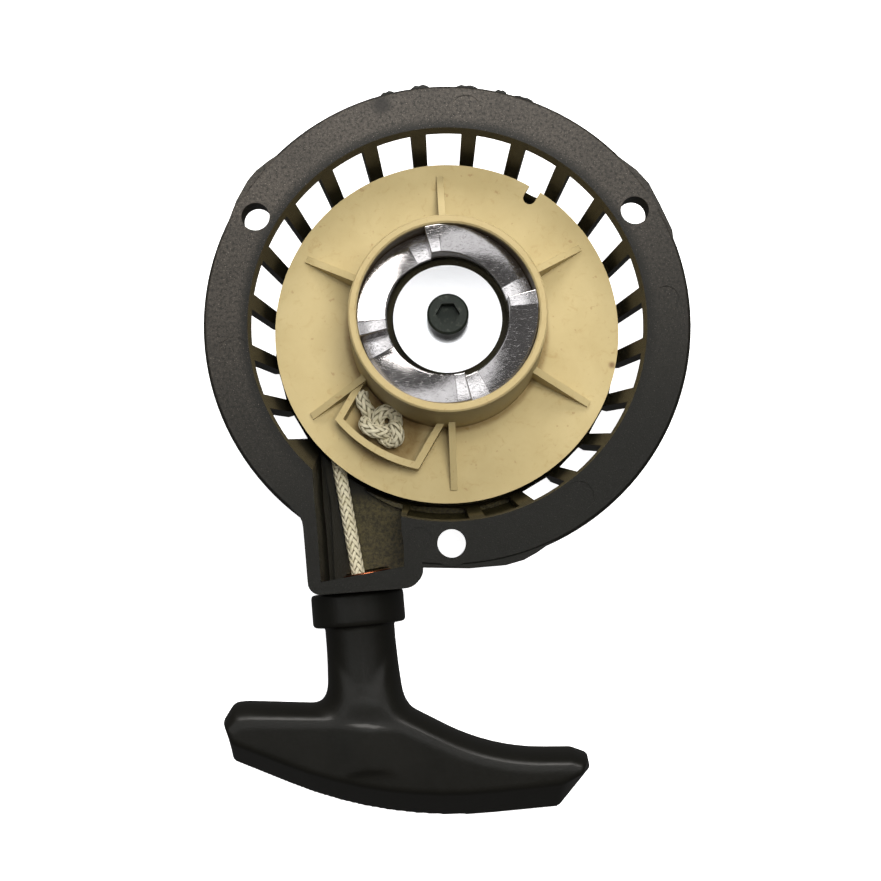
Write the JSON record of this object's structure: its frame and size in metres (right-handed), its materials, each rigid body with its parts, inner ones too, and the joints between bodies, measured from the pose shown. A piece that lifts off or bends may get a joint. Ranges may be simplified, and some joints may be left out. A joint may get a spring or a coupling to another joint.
{
  "type": "recoil starter",
  "caption": "Pull starter with a vented round housing, cream rope reel, steel ratchet ring, braided rope and an offset T handle.",
  "frame": {"origin": "centre of the bolt circle, on the face that meets the engine", "axes": "+Z out of the mounting face towards the engine along the reel axis; +Y away from the pull handle; +X completes the right-handed frame, so a bolt hole lies on -Y"},
  "size_m": [0.1204, 0.1837, 0.0444],
  "materials": {
    "housing_plastic": "as-moulded glass-filled nylon, fine sparkle",
    "handle_plastic": "satin moulded plastic",
    "reel_plastic": "yellowed cream nylon, satin",
    "natural_nylon": "satin",
    "polished_steel": "polished, fine wear scratches",
    "turned_steel": "turned",
    "pressed_steel": "pressed sheet",
    "spring_steel": "blued strip, oiled",
    "bright_zinc": "bright zinc",
    "black_steel": "black oxide",
    "copper": "bright copper plate",
    "brass": "turned brass",
    "rope": "braided nylon"
  },
  "bodies": {
    "housing": {"housing": "housing_plastic", "rope_eyelet": "copper", "post_insert": "brass", "post_sleeve": "turned_steel", "centre_screw": "black_steel", "retaining_washer": "bright_zinc", "thrust_washer": "natural_nylon", "spring_case": "pressed_steel", "case_screws": "bright_zinc", "recoil_spring": "spring_steel", "spring_cover": "pressed_steel", "rope_run": "rope"},
    "reel": {"reel": "reel_plastic", "ratchet_ring": "polished_steel", "rope_winding": "rope", "reel_knot": "rope"},
    "handle": {"handle_grip": "handle_plastic", "knot_washer": "bright_zinc", "handle_knot": "rope", "rope_lead": "rope"}
  },
  "joints": [
    {"name": "handle_pull", "type": "slide", "parent": "housing", "child": "handle", "axis": [0.165, -0.9863, 0], "range_m": [0, 0.75], "deforming": ["rope_lead"]},
    {"name": "reel_spin", "type": "hinge", "parent": "housing", "child": "reel", "pos_m": [0, 0, 0], "axis": [0, 0, 1], "range_deg": [0, 1440], "stiffness_Nm_per_rad": 0.008, "springref_deg": -721.93, "deforming": ["recoil_spring"]}
  ],
  "couplings": [
    {"joint": "reel_spin", "follows": "handle_pull", "rad_per_m": 33.333}
  ]
}
